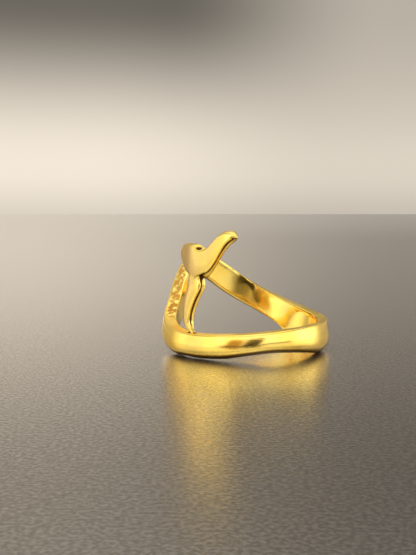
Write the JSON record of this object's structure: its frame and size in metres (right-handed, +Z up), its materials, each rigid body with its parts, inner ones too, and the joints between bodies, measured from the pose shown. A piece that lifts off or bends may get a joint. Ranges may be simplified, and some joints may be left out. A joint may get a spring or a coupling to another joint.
{
  "type": "dolphin tail ring",
  "caption": "Cast gold finger ring whose band steps up at one side, with a slim tail stock standing on its lower arm and carrying a two-lobed fluke.",
  "frame": {"origin": "on the finger hole's axis, at the surface that the ring lies on", "axes": "+Z up along the finger hole's axis, +Y away from the viewer, +X to the viewer's right, towards the back of the band"},
  "size_m": [0.0212, 0.0212, 0.0151],
  "materials": {
    "gold": "polished yellow gold, rougher and as cast on the raised edge of the band"
  },
  "bodies": {
    "root": {"ring": "gold"}
  },
  "joints": []
}
